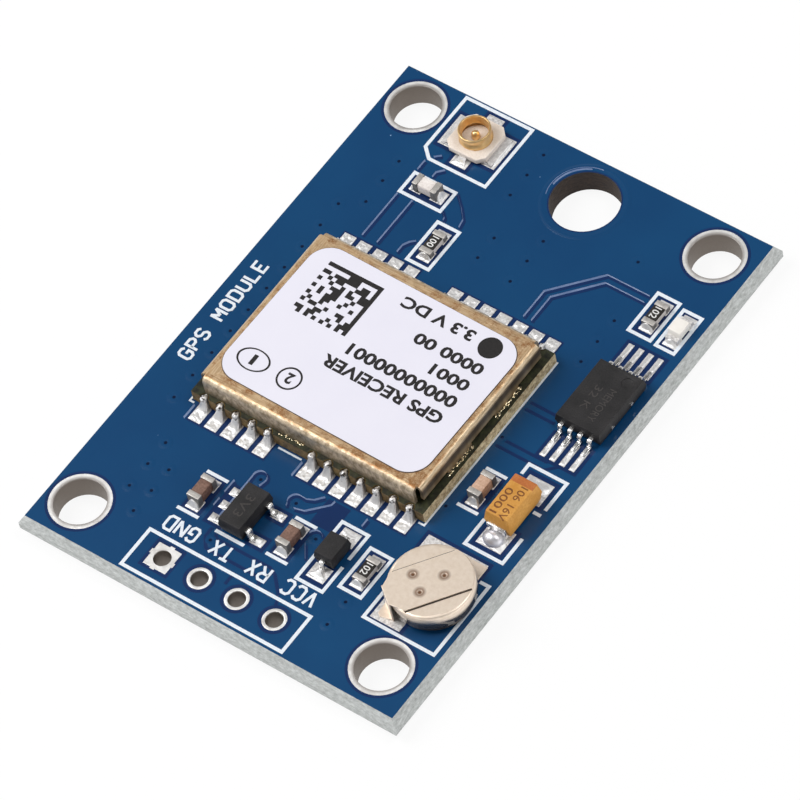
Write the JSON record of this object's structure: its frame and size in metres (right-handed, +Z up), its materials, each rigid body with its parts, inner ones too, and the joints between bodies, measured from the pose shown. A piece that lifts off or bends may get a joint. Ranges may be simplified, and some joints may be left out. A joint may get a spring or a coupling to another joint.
{
  "type": "gps module",
  "caption": "Satellite positioning module: a blue circuit board with a shielded receiver, an antenna socket, a backup cell, a memory chip, mounting holes and a row of header holes.",
  "frame": {"origin": "middle of the board's underside", "axes": "+X along the board's short side, +Y along its long side from the header row towards the antenna socket, +Z up out of the face that carries the parts"},
  "size_m": [0.0256, 0.0362, 0.0037],
  "materials": {
    "board_laminate": "glossy blue solder mask on glass fibre laminate",
    "tinned_copper": "bright tin",
    "receiver_laminate": "green brown laminate",
    "gold_plating": "bright gold plating",
    "solder": "bright solder",
    "can_sheet": "tarnished plated sheet",
    "label": "smooth white label",
    "black_moulding": "fine matte moulding",
    "oscillator_can": "satin metal lid",
    "socket_base": "cream moulding",
    "white_ceramic": "smooth ceramic",
    "tinned_caps": "satin tin",
    "black_coat": "smooth cover coat",
    "brown_ceramic": "satin ceramic",
    "led_white": "white moulding",
    "led_lens": "clear resin",
    "tinned_leads": "bright tin",
    "yellow_moulding": "satin moulding",
    "cell_steel": "satin plated steel"
  },
  "bodies": {
    "root": {"main_board": "board_laminate", "mounting_hole_plating": "tinned_copper", "header_hole_plating": "tinned_copper", "receiver_lands": "tinned_copper", "component_lands": "tinned_copper", "receiver_board": "receiver_laminate", "receiver_contacts": "gold_plating", "receiver_solder": "solder", "receiver_can": "can_sheet", "receiver_label": "label", "receiver_chip": "black_moulding", "receiver_oscillator": "oscillator_can", "receiver_filter": "black_moulding", "antenna_socket_base": "socket_base", "antenna_socket_ring": "gold_plating", "antenna_socket_pin": "gold_plating", "antenna_socket_solder": "solder", "feed_chip_body": "white_ceramic", "feed_chip_caps": "tinned_caps", "resistor_slabs": "white_ceramic", "resistor_coats": "black_coat", "resistor_caps": "tinned_caps", "capacitor_bodies": "brown_ceramic", "capacitor_caps": "tinned_caps", "led_carrier": "led_white", "led_lens": "led_lens", "led_contacts": "gold_plating", "chip_solder": "solder", "memory_body": "black_moulding", "memory_leads": "tinned_leads", "memory_solder": "solder", "regulator_body": "black_moulding", "regulator_leads": "tinned_leads", "regulator_solder": "solder", "diode_body": "black_moulding", "diode_leads": "tinned_leads", "diode_solder": "solder", "tantalum_body": "yellow_moulding", "tantalum_leads": "tinned_leads", "tantalum_solder": "solder", "cell": "cell_steel", "cell_top_tab": "cell_steel", "cell_bottom_tab": "cell_steel"}
  },
  "joints": []
}
